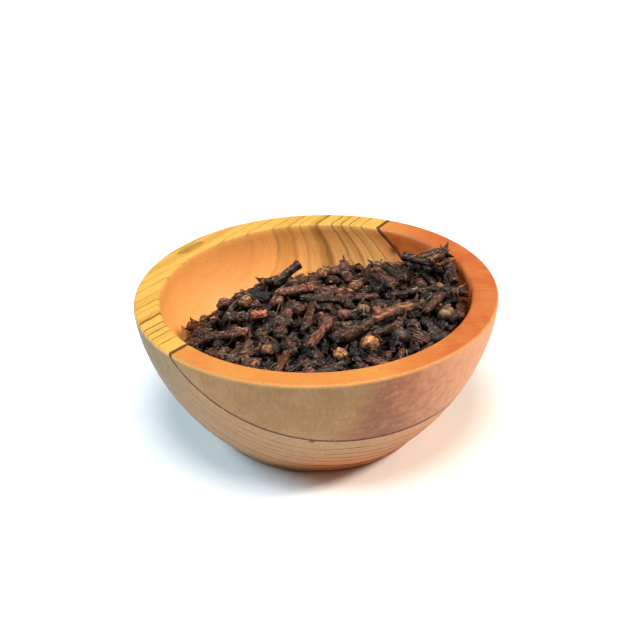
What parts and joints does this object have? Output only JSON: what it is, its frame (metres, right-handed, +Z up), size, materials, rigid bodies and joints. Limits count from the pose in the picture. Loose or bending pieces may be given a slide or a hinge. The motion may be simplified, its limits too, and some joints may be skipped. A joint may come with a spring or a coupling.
{
  "type": "bowl of whole cloves",
  "caption": "Small round turned wooden bowl with a flat foot, filled with an uneven heap of whole dried cloves.",
  "frame": {"origin": "middle of the bowl's foot, on the surface that it stands on", "axes": "+Z up along the bowl's turning axis, -Y towards the front, +X to the right; the heap is high at the right and front and low at the back left"},
  "size_m": [0.1, 0.1, 0.0426],
  "materials": {
    "bowl_wood": "satin oiled hardwood, warm orange-brown and yellow boards with dark brown growth stripes",
    "clove": "dry wrinkled clove, brown-black, with tan and olive buds"
  },
  "bodies": {
    "root": {"bowl": "bowl_wood", "cloves": "clove"}
  },
  "joints": []
}
